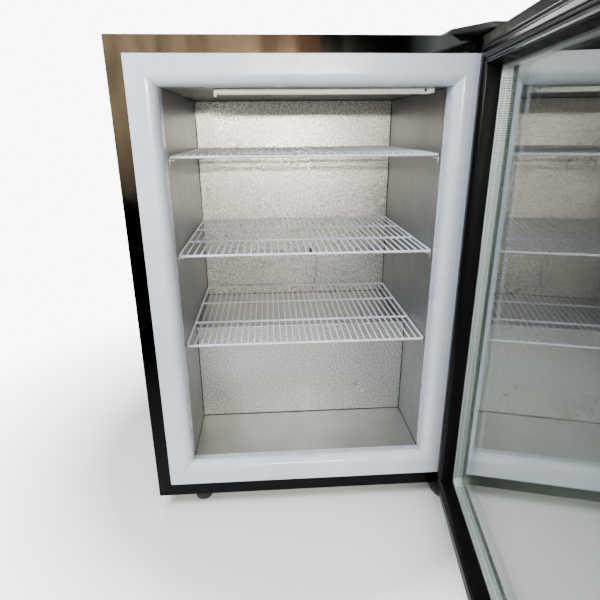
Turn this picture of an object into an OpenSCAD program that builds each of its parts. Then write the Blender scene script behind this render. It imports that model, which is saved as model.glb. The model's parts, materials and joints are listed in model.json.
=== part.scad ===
// Glass door reach-in refrigerator: a steel cabinet with a foamed aluminium cavity, three wire
// shelves, a triple glazed door on two pivot hinges, and the cooling set in a bay at the back.
// Cabinet pieces are drawn with X from the left side, Y from the front face and Z from the
// cabinet's underside, then moved so that the origin is on the floor under the cabinet's middle.

/* [Cabinet] */
// Width over the side panels
body_w = 600; // [500:1:720]
// Depth from the front trim to the back panel
body_d = 470; // [440:1:600]
// Height of the cabinet without its feet
body_h = 825; // [760:1:1000]
// Thickness of the outer sheet
panel_t = 1.2; // [0.6:0.1:2]
// Thickness of the base pan
base_t = 1.5; // [1:0.1:3]
// Height of the feet under the cabinet
foot_h = 35; // [31:1:60]

/* [Front] */
// Width of the polished trim around the front
trim_w = 24.5; // [15:0.5:32]
// Thickness of the trim sheet
trim_t = 1.5; // [0.8:0.1:2]
// Open seam between trim strips and between collar strips
seam = 0.2; // [0.1:0.05:0.4]
// Width of the white collar, from the trim to its lip
collar_w = 45.1; // [40:0.5:60]
// Radius of the collar's rounded lip
collar_r = 17.6; // [8:0.2:24]
// Depth of the collar, from the front face to the cavity lining
collar_d = 43; // [36:1:60]
// Wall thickness of the collar
collar_t = 2.5; // [1.5:0.1:4]

/* [Cavity] */
// Depth of the cavity behind the collar
cavity_d = 367; // [330:1:372]
// Drop from the collar's lip to the cavity floor
floor_drop = 8.6; // [4:0.1:12]
// Height of the step over the cooling set, above the cavity floor
step_h = 223; // [200:1:240]
// Depth of the step, from its front face to the cavity's back wall
step_d = 220.5; // [200:0.5:222]
// Thickness of the lining sheet
liner_t = 1; // [0.6:0.1:1.5]
// Foam between the lining's step and the cooling bay
step_foam = 45; // [30:1:50]

/* [Shelves] */
// Gap between a shelf and each side wall
shelf_gap = 1; // [0.6:0.1:6]
// Front to back size of a shelf
shelf_d = 360; // [300:1:364]
// Height of the lowest shelf's rail above the step
shelf_low = 22; // [14:1:60]
// Space between the top shelf's rail and the ceiling
shelf_high = 106; // [40:1:140]
// How far the middle shelf lies above the middle between the other two
shelf_mid = 3; // [-20:1:20]
// Distance between neighbouring wires
wire_pitch = 12.5; // [8:0.1:13]
// Diameter of the wires
wire_dia = 2.8; // [2:0.1:4]
// Least space between a shelf's side and its first wire
wire_edge = 12; // [8:1:30]
// Diameter of the rails and of the rim
rail_dia = 4.8; // [4:0.1:7]

/* [Door] */
// How far the door stands open, in degrees
door_open = 82; // [0:1:110]
// Thickness of the door frame
door_t = 45; // [42:1:56]
// Width of the stiles and rails
stile_w = 44; // [40:1:60]
// Space between the cabinet's front and the door frame, which the gasket fills
gasket_gap = 6; // [5:0.5:9]
// Distance from the door's edge to the hinge axis
axis_in = 17; // [14:0.5:22]
// Distance from the cabinet's front to the hinge axis
axis_out = 32; // [30:0.5:36]
// Gap under the door, above the cabinet's underside
door_low = 5; // [4:0.5:10]
// Gap between the door's top and the level of the cabinet's top
door_high = 3; // [2:0.5:8]
// Depth of the glass behind the frame's inner face
glass_in = 20; // [14:1:20]
// Thickness of each glass pane
pane_t = 3; // [2.5:0.1:4]
// Space between two panes
pane_gap = 6.8; // [5:0.1:7]
// Distance from the door's edge to the gasket
gasket_in = 14; // [13:0.5:18]
// Width of the gasket
gasket_w = 28; // [20:1:30]
// Length of the handle between its posts
handle_len = 190; // [120:5:300]
// Finger space between the handle's bar and the door
handle_out = 26; // [20:1:40]

/* [Hinges and feet] */
// Radius of the hinge pins
pin_r = 4; // [3:0.1:5]
// Thickness of the hinge plates
hinge_t = 3; // [2:0.5:5]
// Length of a hinge pin inside the door
pin_len = 14; // [10:1:20]
// Radius of a foot's pad
foot_r = 17; // [12:1:20]
// Radius of a foot's stud
stud_r = 4; // [3:0.5:5]

/* [Cooling set] */
// Radius of the compressor's shell
comp_r = 72; // [60:1:76]
// Height of the compressor's shell
comp_h = 150; // [120:1:160]
// Radius of the condenser fan
fan_r = 80; // [60:1:84]
// Radius of the refrigerant tube
tube_r = 4; // [3:0.1:5]

/* [Hidden] */
$fn = 64;
fit = 0.05;                      // radial clearance of a running fit
play = 0.3;                      // clearance between pieces that only lie close
far = 1000;                      // longer than any cut needs

lip = trim_w + collar_w;         // from the cabinet's side to the collar's lip
lap = 0.6;                       // the cavity stands this far behind the lip
side_x = lip - lap;              // inner face of the left cavity wall
wall_x = body_w - side_x;        // inner face of the right cavity wall
floor_z = lip - floor_drop;      // top of the cavity floor
ceil_z = body_h - side_x;        // underside of the cavity ceiling
back_y = collar_d + cavity_d;    // front of the cavity's back wall
step_y = back_y - step_d;        // front of the step
step_z = floor_z + step_h;       // top of the step
bay_y = step_y + liner_t + step_foam;
bay_z = step_z - liner_t - step_foam;
bay_sheet = 1;                   // thickness of the bay's sheets
inner_x = panel_t;               // inside faces of the outer panels
inner_w = body_w - 2 * panel_t;
inner_top = body_h - panel_t;
inner_back = body_d - panel_t;

door_h = body_h - door_low - door_high;
axis_x = body_w - axis_in;
axis_y = -axis_out;
frame_y = -gasket_gap;           // inner face of the door frame
front_y = frame_y - door_t;      // outer face of the door frame
glass_y = frame_y - glass_in;    // inner face of the glazing rebate
glaze_t = 3 * pane_t + 2 * pane_gap;
rebate_t = glaze_t + 0.4;        // width of the glazing rebate
rebate_in = 10;                  // how deep the glass edge sits in the frame
glass_x = stile_w - rebate_in + play;
spacer_w = 9;                    // width of a glazing spacer bar
bush_r = pin_r + 3;
bush_flange = 10;                // radius of the lower bush's flange

nut_h = 8;                       // height of a foot's nut
pad_h = 20;                      // height of a foot's pad
hex_h = 4;                       // height of the hex above it
rear_foot_in = 45;               // rear feet from the sides and the back
feet = [[82, 37], [body_w - 19, 37], [rear_foot_in, body_d - rear_foot_in],
    [body_w - rear_foot_in, body_d - rear_foot_in]];

fan_x = 112;                     // middle of the fan's blades
fan_y = (bay_y + inner_back) / 2;
fan_z = base_t + 14 + fan_r;
coil_x = 34;                     // left side of the condenser block
coil_w = 46;                     // its thickness
comp_x = body_w / 2;             // middle of the compressor
comp_y = fan_y;
comp_z = base_t + 14;            // underside of the compressor's shell
rim = 3;                         // how far the weld rim stands out of the shell
cover_t = 1.2;                   // thickness of the rear cover over the bay
cover_y = inner_back - cover_t;
knob_x = body_w - 130;           // thermostat, switch and lead gland in the rear cover
switch_x = body_w - 80;
gland_x = body_w - 45;
knob_z = bay_z - 48;
gland_z = 60;
gland_r = 7;
shaft_r = 4;                     // thermostat shaft
rocker = [16, 12, 22];           // size of the light switch's rocker
rocker_y = inner_back - 2;       // its pivot
pivot_r = 1.5;
switch_box = [20, 20, 30];       // size of the switch's housing behind its flange
probe = [body_w / 2 + 40, step_z + 114];   // thermostat probe's grommet on the back wall
grommet_r = 3.1;

// ---- placing ----

// Cabinet coordinates to the part's own frame
module place() translate([-body_w / 2, -body_d / 2, foot_h]) children();

// A closed door's coordinates to the part's own frame, with the door swung open
module swing() place() translate([axis_x, axis_y, 0]) rotate([0, 0, door_open])
    translate([-axis_x, -axis_y, 0]) children();

// A box from its lowest and highest corners
module span(a, b) translate(a) cube(b - a);

// An outline in X and Z, made t thick from y towards the back
module upright(outline, y, t) translate([0, y + t, 0]) rotate([90, 0, 0])
    linear_extrude(t) polygon(outline);

// A cylinder along Y from y0 to y1
module rod_y(r, x, y0, y1, z) translate([x, y0, z]) rotate([-90, 0, 0]) cylinder(h = y1 - y0, r = r);

// A cylinder along X from x0 to x1
module rod_x(r, x0, x1, y, z) translate([x0, y, z]) rotate([0, 90, 0]) cylinder(h = x1 - x0, r = r);

// A bent tube through the points, a little fuller at its bends
module tube(points, r) {
    for (i = [1:len(points) - 1]) {
        leg = points[i] - points[i - 1];
        translate(points[i - 1]) rotate([0, acos(leg.z / norm(leg)), atan2(leg.y, leg.x)])
            cylinder(h = norm(leg), r = r);
    }
    for (i = [1:1:len(points) - 2]) translate(points[i]) sphere(r * 1.04);
}

// Mitred side of a frame w wide and h high: the child is its section, with X across the member
// from the frame's outer edge and Y through it. It runs up Z along the left side, and gap is the
// seam at its ends, or 0 where the corners are welded
module side_left(w, h, reach, gap = seam) intersection() {
    linear_extrude(h) children();
    upright([[-1, -1 + gap], [reach, reach + gap], [reach, h - reach - gap], [-1, h + 1 - gap]],
        -far / 2, far);
}
module side_right(w, h, reach, gap = seam) translate([w, 0, 0]) mirror([1, 0, 0])
    side_left(w, h, reach, gap) children();
module side_bottom(w, h, reach, gap = seam) mirror([1, 0, -1]) side_left(h, w, reach, gap) children();
module side_top(w, h, reach, gap = seam) translate([0, 0, h]) mirror([0, 0, 1])
    side_bottom(w, h, reach, gap) children();

// ---- outer shell ----

module side_panel(x) color("#1b1b1d") place()
    span([x, trim_t, 0], [x + panel_t, body_d, body_h]);
module left_panel() side_panel(0);
module right_panel() side_panel(body_w - panel_t);
module top_panel() color("#1b1b1d") place()
    span([inner_x, trim_t, inner_top], [inner_x + inner_w, body_d, body_h]);
module back_panel() color("#1b1b1d") place()
    span([inner_x, inner_back, bay_z], [inner_x + inner_w, body_d, inner_top]);

module base_pan() color("#3a3a3c") place() difference() {
    span([inner_x, trim_t, 0], [inner_x + inner_w, cover_y - play, base_t]);
    for (f = feet) translate([f.x, f.y, -1]) cylinder(h = base_t + 2, r = stud_r + play);
}

module foam_insulation() color("#e8dcae") place() difference() {
    foam_y = collar_r + trim_t + 2;
    mouth = floor_z - collar_t - 2;        // clears the collar's lower leg and its mitres
    span([inner_x, foam_y, base_t], [inner_x + inner_w, inner_back, inner_top]);
    // mouth behind the collar
    span([mouth, foam_y - 1, mouth], [body_w - mouth, collar_d + 1, body_h - lip + collar_t + 1]);
    // cavity with its lining
    span([side_x - liner_t, collar_d, step_z - liner_t],
        [wall_x + liner_t, back_y + liner_t, ceil_z + liner_t]);
    span([side_x - liner_t, collar_d, floor_z - liner_t],
        [wall_x + liner_t, step_y + liner_t, ceil_z]);
    // pocket of the evaporator tube
    span([side_x + 20, back_y, step_z + 20], [wall_x - 20, back_y + liner_t + 12, ceil_z - 20]);
    // cooling bay
    span([0, bay_y - bay_sheet, 0], [body_w, body_d, bay_z + bay_sheet]);
    for (f = feet) translate([f.x, f.y, 0]) cylinder(h = base_t + nut_h + 12, r = 11);
}

// ---- front trim and collar ----

module trim_side() color("#4a443b") place()
    upright([[0, 0], [trim_w, 0], [trim_w, body_h - trim_w - seam], [0, body_h - seam]], 0, trim_t);
module trim_left() trim_side();
module trim_right() mirror([1, 0, 0]) trim_side();
module trim_top() color("#4a443b") place()
    upright([[0, body_h], [trim_w, body_h - trim_w], [body_w - trim_w, body_h - trim_w],
        [body_w, body_h]], 0, trim_t);
module trim_bottom() color("#4a443b") place()
    span([trim_w + seam, 0, 0], [body_w - trim_w - seam, trim_t, trim_w]);

// Collar section: a flat band beside the trim, a round lip and a leg back to the lining, which
// ends drop further from the opening than the lip
module collar_section(drop) {
    face = 0.6;                  // the band lies this far behind the trim's face
    turn = lip - collar_r;       // where the round lip begins
    start = trim_w + play;
    translate([start, face]) square([turn - start, collar_t]);
    intersection() {
        translate([turn, face + collar_r]) difference() {
            circle(collar_r);
            circle(collar_r - collar_t);
        }
        translate([turn, face]) square(collar_r);
    }
    polygon([[lip - collar_t, face + collar_r], [lip, face + collar_r],
        [lip - drop, collar_d], [lip - drop - collar_t, collar_d]]);
}
module collar_left() color("#eef1f4") place()
    side_left(body_w, body_h, lip + 1) collar_section(lap);
module collar_right() color("#eef1f4") place()
    side_right(body_w, body_h, lip + 1) collar_section(lap);
module collar_top() color("#eef1f4") place()
    side_top(body_w, body_h, lip + 1) collar_section(lap);
module collar_bottom() color("#eef1f4") place()
    side_bottom(body_w, body_h, lip + 1) collar_section(floor_drop);

// ---- cavity lining ----

// Side wall of the cavity, cut away behind the step, with its near face at x
module liner_side(x) color("#b7b4ab") place() translate([x, 0, 0]) rotate([90, 0, 90])
    linear_extrude(liner_t) polygon([[collar_d, floor_z - liner_t], [step_y + liner_t,
        floor_z - liner_t], [step_y + liner_t, step_z - liner_t], [back_y + liner_t,
        step_z - liner_t], [back_y + liner_t, ceil_z + liner_t], [collar_d, ceil_z + liner_t]]);
module liner_left() liner_side(side_x - liner_t);
module liner_right() liner_side(wall_x);
module liner_ceiling() color("#8f8e8a") place()
    span([side_x, collar_d, ceil_z], [wall_x, back_y + liner_t, ceil_z + liner_t]);
module liner_floor() color("#b0aca2") place()
    span([side_x, collar_d, floor_z - liner_t], [wall_x, step_y + liner_t, floor_z]);
module liner_back() color("#c9c6bb") place() difference() {
    span([side_x, back_y, step_z], [wall_x, back_y + liner_t, ceil_z]);
    rod_y(grommet_r + 0.1, probe[0], back_y - 1, back_y + liner_t + 1, probe[1]);
}
module step_front() color("#c9c6bb") place()
    span([side_x, step_y, floor_z], [wall_x, step_y + liner_t, step_z - liner_t]);
module step_top() color("#b0aca2") place()
    span([side_x, step_y, step_z - liner_t], [wall_x, back_y + liner_t, step_z]);

// ---- lamp and probe ----

lamp_x = [side_x + 82, wall_x - 19];       // ends of the lamp under the ceiling
lamp_y = collar_d + 4;           // front of the lamp
lamp_d = 16;
lamp_h = 8;
lamp_screw_r = 1.5;
module lamp_housing() color("#efece0") place() difference() {
    union() {
        span([lamp_x[0], lamp_y, ceil_z - lamp_h], [lamp_x[1], lamp_y + lamp_d, ceil_z]);
        span([lamp_x[0], lamp_y, ceil_z - lamp_h - 5], [lamp_x[0] + 5, lamp_y + 2, ceil_z - lamp_h]);
    }
    // groove for the diffuser and hole for the end screw
    span([lamp_x[0] + 6, lamp_y + 3, ceil_z - lamp_h - 1],
        [lamp_x[1] - 6, lamp_y + lamp_d - 3, ceil_z - lamp_h + 4]);
    rod_y(lamp_screw_r + 0.1, lamp_x[1] - 15, lamp_y - 1, lamp_y + 2.5, ceil_z - lamp_h / 2);
}
module lamp_diffuser() color("#fbfaf2") place()
    span([lamp_x[0] + 6 + play, lamp_y + 3 + play, ceil_z - lamp_h - 1.5],
        [lamp_x[1] - 6 - play, lamp_y + lamp_d - 3 - play, ceil_z - lamp_h + 3.7]);

module probe_grommet() color("#2a2a2a") place() difference() {
    union() {
        rod_y(5, probe[0], back_y - 1.5, back_y, probe[1]);
        rod_y(grommet_r, probe[0], back_y, back_y + 3, probe[1]);
    }
    rod_y(lead_r + 0.5, probe[0], back_y - 2, back_y + 4, probe[1]);
}
lead_r = 1.3;                    // thermostat probe's lead
module probe_lead() color("#4a4744") place() {
    out_y = back_y - 4;
    wall_y = back_y - lead_r - 0.2;
    tube([[probe[0], back_y + 3, probe[1]], [probe[0], out_y, probe[1]],
        [probe[0] + 12, wall_y, probe[1] - 12], [probe[0] + 19, wall_y, probe[1] - 24],
        [probe[0] + 12, wall_y, probe[1] - 60], [probe[0] + 3, wall_y, step_z + 2]], lead_r);
}

// ---- shelves ----

shelf_x = side_x + shelf_gap;
shelf_w = body_w - 2 * shelf_x;
shelf_bottom_z = step_z + shelf_low;       // middles of the shelves' rails
shelf_top_z = ceil_z - shelf_high;
shelf_middle_z = (shelf_bottom_z + shelf_top_z) / 2 + shelf_mid;
clip_y = [collar_d + 14, collar_d + shelf_d - 28];

// A welded shelf: a round rim, two rails across inside it and wires laid on top
module shelf(z) color("#e9ebf0") place() translate([shelf_x, collar_d, z]) {
    r = rail_dia / 2;
    turn = 8;                    // bend of the rim at its corners, to the wire's middle
    last = floor((shelf_w - 2 * wire_edge) / wire_pitch);
    first = (shelf_w - last * wire_pitch) / 2;
    sink = 0.5;                  // the welds sink each wire this far into the rails
    for (y = [r, shelf_d - r]) rod_x(r, r + turn, shelf_w - r - turn, y, 0);
    for (x = [r, shelf_w - r]) rod_y(r, x, r + turn, shelf_d - r - turn, 0);
    for (c = [[0, 0, 180], [1, 0, 270], [1, 1, 0], [0, 1, 90]])
        translate([r + turn + c[0] * (shelf_w - 2 * (r + turn)),
            r + turn + c[1] * (shelf_d - 2 * (r + turn)), 0])
            rotate([0, 0, c[2]]) rotate_extrude(angle = 90) translate([turn, 0]) circle(r);
    for (share = [1 / 3, 2 / 3]) rod_x(r - 0.2, r, shelf_w - r, shelf_d * share, 0);
    for (i = [0:last]) rod_y(wire_dia / 2, first + i * wire_pitch, 0.5,
        shelf_d - 0.5, r + wire_dia / 2 - sink);
}
module shelf_bottom() shelf(shelf_bottom_z);
module shelf_middle() shelf(shelf_middle_z);
module shelf_top() shelf(shelf_top_z);

// Clips that hold the shelves: a foot on the wall and a peg under the rim
module clip(x, y, z, turn) translate([x, y, z]) rotate([0, 0, turn]) {
    peg_r = 3;
    plate_t = 2;
    top = -rail_dia / 2 - play;  // the peg's top, under the rim
    span([0, -5, top - 14], [plate_t, 5, top]);
    intersection() {
        rod_x(peg_r, 0, shelf_gap + rail_dia + 4, 0, top - peg_r);
        span([0, -peg_r, top - 2 * peg_r], [far, peg_r, top]);
    }
}
module shelf_clips() color("#d9dade") place()
    for (z = [shelf_bottom_z, shelf_middle_z, shelf_top_z], y = clip_y) {
        clip(side_x, y, z, 0);
        clip(wall_x, y, z, 180);
    }

// ---- feet ----

// Domed pad, a hex collar to turn it by, and a stud that screws into its nut
module foot(f) translate([f.x, f.y, -foot_h]) {
    rotate_extrude() polygon([[0, 0], [foot_r - 5, 0], [foot_r - 1.5, 2], [foot_r, 5],
        [foot_r, pad_h - 6], [foot_r - 2, pad_h - 2], [foot_r - 6, pad_h], [0, pad_h]]);
    translate([0, 0, pad_h]) cylinder(h = hex_h, r = 8, $fn = 6);
    translate([0, 0, pad_h + hex_h]) cylinder(h = foot_h - pad_h - hex_h + base_t + nut_h,
        r = stud_r);
}
module foot_front_left() color("#17171a") place() foot(feet[0]);
module foot_front_right() color("#17171a") place() foot(feet[1]);
module rear_feet() color("#17171a") place() {
    foot(feet[2]);
    foot(feet[3]);
}
module foot_nuts() color("#a9abae") place() for (f = feet) translate([f.x, f.y, base_t])
    difference() {
        cylinder(h = nut_h, r = 7.5, $fn = 6);
        translate([0, 0, -1]) cylinder(h = nut_h + 2, r = stud_r + fit);
    }

// ---- hinges ----

top_plate = [[body_w - 80, 42], [body_w - 80, 2], [body_w - 44, front_y - 3],
    [body_w - 4, front_y - 3], [body_w - 2, front_y - 1], [body_w - 2, 42]];
low_plate = [[body_w - 52, 62], [body_w - 52, -18], [body_w - 49, -29], [body_w - 43, -37],
    [body_w - 30, front_y + 3], [body_w - 2, front_y + 3], [body_w - 2, 62]];
top_screws = [[body_w - 64, 28], [body_w - 20, 28]];
low_screws = [[body_w - 40, 52], [body_w - 14, 54]];
screw_r = 2.4;
head_r = 4.5;
low_t = hinge_t + 1;             // the lower plate carries the door

module top_hinge_plate() color("#222224") place() difference() {
    translate([0, 0, body_h]) linear_extrude(hinge_t) polygon(top_plate);
    translate([axis_x, axis_y, body_h - 1]) cylinder(h = hinge_t + 2, r = pin_r + fit);
    for (s = top_screws) translate([s.x, s.y, body_h - 1]) cylinder(h = hinge_t + 2, r = screw_r + fit);
}
module bottom_hinge_plate() color("#222224") place() difference() {
    translate([0, 0, -low_t]) linear_extrude(low_t) polygon(low_plate);
    translate([axis_x, axis_y, -low_t - 1]) cylinder(h = low_t + 2, r = pin_r + fit);
    translate([feet[1].x, feet[1].y, -low_t - 1]) cylinder(h = low_t + 2, r = stud_r + play);
    for (s = low_screws) translate([s.x, s.y, -low_t - 1]) cylinder(h = low_t + 2, r = screw_r + fit);
}
// Each pin has a head outside its plate
module hinge_pins() color("#b4b6b8") place() translate([axis_x, axis_y, 0]) {
    translate([0, 0, body_h - door_high - pin_len]) cylinder(h = door_high + pin_len + hinge_t, r = pin_r);
    translate([0, 0, body_h + hinge_t]) cylinder(h = 2, r = pin_r + 2);
    translate([0, 0, -low_t]) cylinder(h = low_t + door_low + pin_len, r = pin_r);
    translate([0, 0, -low_t - 2]) cylinder(h = 2, r = pin_r + 2);
}
// Hinge screws, and the small one in the lamp's end
module screws() color("#a9abae") place() {
    head_h = 2;
    for (s = top_screws) translate([s.x, s.y, body_h]) {
        cylinder(h = hinge_t, r = screw_r);
        translate([0, 0, hinge_t]) cylinder(h = head_h, r = head_r);
    }
    for (s = low_screws) translate([s.x, s.y, -low_t]) {
        cylinder(h = low_t, r = screw_r);
        translate([0, 0, -head_h]) cylinder(h = head_h, r = head_r);
    }
    rod_y(lamp_screw_r, lamp_x[1] - 15, lamp_y - 0.2, lamp_y + 2.4, ceil_z - lamp_h / 2);
}
module hinge_cover() color("#161618") place() difference() {
    cover_h = 8;
    translate([0, 0, body_h]) linear_extrude(cover_h) polygon([[body_w - 85, 46], [body_w - 85, 2],
        [body_w - 48, front_y - 7], [body_w - 4, front_y - 7], [body_w, front_y - 3], [body_w, 46]]);
    translate([0, 0, body_h - 1]) linear_extrude(1 + hinge_t + 2.5) polygon([[body_w - 80.5, 42.5],
        [body_w - 80.5, 1.8], [body_w - 44.3, front_y - 3.5], [body_w - 3.8, front_y - 3.5],
        [body_w - 1.5, front_y - 1.2], [body_w - 1.5, 42.5]]);
}

// ---- cooling set ----

// Bent sheet that closes the foam towards the bay
module bay_lining() color("#8e9194") place() {
    span([inner_x, bay_y - bay_sheet, base_t], [inner_x + inner_w, bay_y, bay_z + bay_sheet]);
    span([inner_x, bay_y, bay_z], [inner_x + inner_w, inner_back, bay_z + bay_sheet]);
}

// Flat serpentine behind the cavity's back wall: rows along X joined by round turns
module evaporator_tube() color("#c98b5a") place() {
    rows = 8;
    pitch = 44;
    x0 = side_x + 60;
    x1 = wall_x - 60;
    z0 = step_z + 60;
    y = back_y + liner_t + tube_r + 1;
    for (i = [0:rows - 1]) rod_x(tube_r, x0, x1, y, z0 + i * pitch);
    for (i = [0:rows - 2]) translate([i % 2 == 0 ? x1 : x0, y, z0 + (i + 0.5) * pitch])
        rotate([90, 0, 0]) rotate([0, 0, i % 2 == 0 ? -90 : 90]) rotate_extrude(angle = 180)
            translate([pitch / 2, 0]) circle(tube_r);
}

module compressor() color("#1d1d20") place() translate([comp_x, comp_y, comp_z]) {
    seam_z = comp_h * 0.55;      // weld between the shell's halves
    dome = 26;                   // radius of the domed ends
    wall = 12;                   // thick enough to weigh as much as the motor and pump in it
    difference() {
        union() {
            rotate_extrude() intersection() {
                union() {
                    translate([0, dome]) square([comp_r, comp_h - 2 * dome]);
                    for (z = [dome, comp_h - dome]) translate([comp_r - dome, z]) circle(dome);
                    square([comp_r - dome, comp_h]);
                }
                square([comp_r, comp_h]);
            }
            translate([0, 0, seam_z]) cylinder(h = 5, r = comp_r + rim);
        }
        translate([0, 0, wall]) cylinder(h = comp_h - 2 * wall, r = comp_r - wall);
    }
    // foot plate under the shell
    span([-comp_r - 14, -55, 0], [comp_r + 14, 55, 4]);
}
mounts = [for (x = [-1, 1], y = [-1, 1]) [comp_x + x * (comp_r + 6), comp_y + y * 45]];
module compressor_mounts() color("#2b2b2b") place() for (m = mounts)
    translate([m.x, m.y, base_t]) cylinder(h = comp_z - base_t, r = 7);
module relay_cover() color("#202022") place()
    span([comp_x + comp_r + rim, comp_y - 28, comp_z + 30], [comp_x + comp_r + 34, comp_y + 28,
        comp_z + 100]);

coil_rows = 6;
coil_pitch = 30;
coil_low = 26;                   // height of the lowest tube
coil_top = coil_low + (coil_rows - 1) * coil_pitch;
col_x = coil_x + 12;             // first column of tubes
col_gap = 22;                    // distance between the two columns
fin_over = 14;                   // how far the fins reach past the tubes
coil_y = [bay_y + 34, inner_back - 34];
module condenser_coil() color("#b87a4b") place() for (col = [0, 1]) {
    x = col_x + col * col_gap;
    for (i = [0:coil_rows - 1]) rod_y(tube_r, x, coil_y[0], coil_y[1], coil_low + i * coil_pitch);
    for (i = [0:coil_rows - 2]) translate([x, coil_y[(i + 1) % 2], coil_low + (i + 0.5) * coil_pitch])
        rotate([0, 90, 0]) rotate([0, 0, i % 2 == 0 ? 0 : 180]) rotate_extrude(angle = 180)
            translate([coil_pitch / 2, 0]) circle(tube_r);
    // crossover between the two columns' lowest tubes
    if (col == 0) translate([x + col_gap / 2, coil_y[0], coil_low]) rotate([0, 0, 180])
        rotate_extrude(angle = 180) translate([col_gap / 2, 0]) circle(tube_r);
}
module condenser_fins() color("#b9bdc0") place() difference() {
    count = 18;
    step = (coil_y[1] - coil_y[0] - 8) / (count - 1);
    low = coil_low - fin_over;
    top = coil_top + fin_over;
    fin_t = 0.6;
    union() {
        for (i = [0:count - 1]) translate([coil_x, coil_y[0] + 4 + i * step - fin_t / 2, low])
            cube([coil_w, fin_t, top - low]);
        for (z = [low, top - 3]) span([coil_x, coil_y[0] + 4, z], [coil_x + coil_w,
            coil_y[1] - 4, z + 3]);
        // legs down to the base pan
        for (y = [coil_y[0] + 30, coil_y[1] - 40]) span([coil_x, y, base_t], [coil_x + coil_w, y + 2,
            low]);
    }
    for (col = [0, 1], i = [0:coil_rows - 1]) rod_y(tube_r + fit, col_x + col * col_gap, 0, body_d,
        coil_low + i * coil_pitch);
}
module fan_motor() color("#3b3c3f") place() {
    rod_x(22, fan_x + 16, fan_x + 60, fan_y, fan_z);
    rod_x(3, fan_x - 6, fan_x + 16, fan_y, fan_z);
    // bracket down to the base pan
    span([fan_x + 26, fan_y - 18, base_t], [fan_x + 50, fan_y + 18, fan_z - 15]);
}
module fan_blades() color("#26272a") place() translate([fan_x, fan_y, fan_z]) rotate([0, 90, 0])
    difference() {
        union() {
            translate([0, 0, -10]) cylinder(h = 20, r = 16);
            intersection() {
                for (i = [0:4]) rotate([0, 0, i * 72]) translate([10, 0, 0]) rotate([28, 0, 0])
                    translate([0, -20, -0.8]) cube([fan_r, 40, 1.6]);
                translate([0, 0, -12]) cylinder(h = 24, r = fan_r - 4);
            }
        }
        translate([0, 0, -far / 2]) cylinder(h = far, r = 3 + fit);
    }
// Discharge line to the condenser, suction line, and the line to the drier with its capillary
module refrigerant_lines() color("#b87a4b") place() {
    line_r = 3;
    drier = [comp_x + 190, comp_y, base_t + 40];
    // the lines turn down in front of the condenser's bends
    front = coil_y[0] - coil_pitch / 2 - tube_r - line_r - 2;
    tube([[comp_x - 30, comp_y + 20, comp_z + comp_h], [comp_x - 30, comp_y + 20, bay_z - 12],
        [col_x + col_gap, comp_y + 20, bay_z - 12], [col_x + col_gap, front, bay_z - 12],
        [col_x + col_gap, front, coil_top], [col_x + col_gap, coil_y[0] - 0.2, coil_top]], line_r);
    tube([[comp_x + 30, comp_y - 20, comp_z + comp_h], [comp_x + 30, comp_y - 20, bay_z - 20],
        [comp_x + 150, comp_y - 20, bay_z - 20], [comp_x + 150, comp_y - 20, bay_z]], tube_r);
    tube([[col_x, coil_y[0] - 0.2, coil_top], [col_x, front, coil_top], [col_x, front, base_t + 12],
        [drier.x, front, base_t + 12], [drier.x, drier.y, base_t + 12], drier - [0, 0, 9]], line_r);
    translate(drier) {
        drier_r = 10;
        drier_h = 80;
        turn_r = 22;             // capillary's turns
        capillary_r = 1.5;
        cylinder(h = drier_h, r = drier_r);
        translate([0, 0, drier_h]) cylinder(h = 10, r1 = drier_r, r2 = line_r);
        translate([0, 0, -10]) cylinder(h = 10, r1 = line_r, r2 = drier_r);
        translate([0, 0, drier_h + 8]) cylinder(h = bay_z - drier.z - drier_h - 8, r = capillary_r);
        for (i = [0:3]) translate([-turn_r, 0, drier_h + 20 + i * 2.6]) rotate_extrude()
            translate([turn_r, 0]) circle(capillary_r);
    }
}

// ---- rear cover and controls ----

module rear_cover() color("#1b1b1d") place() difference() {
    slot = [76, 6];              // size of an air slot
    step = [100, 17];            // distances between slots
    first = [60, 40];
    columns = floor((knob_x - 30 - first.x + step.x - slot.x) / step.x);
    rows = floor((bay_z - 45 - first.y) / step.y);
    span([inner_x + play, cover_y, play], [inner_x + inner_w - play, inner_back, bay_z - play]);
    for (i = [0:columns - 1], j = [0:rows])
        translate([first.x + i * step.x, cover_y - 1, first.y + j * step.y])
            cube([slot.x, cover_t + 2, slot.y]);
    rod_y(shaft_r + play, knob_x, cover_y - 1, body_d, knob_z);
    translate([switch_x - switch_box.x / 2 - 0.2, cover_y - 1, knob_z - switch_box.z / 2 - 0.2])
        cube([switch_box.x + 0.4, cover_t + 2, switch_box.z + 0.4]);
    rod_y(gland_r, gland_x, cover_y - 1, body_d, gland_z);
}
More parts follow.
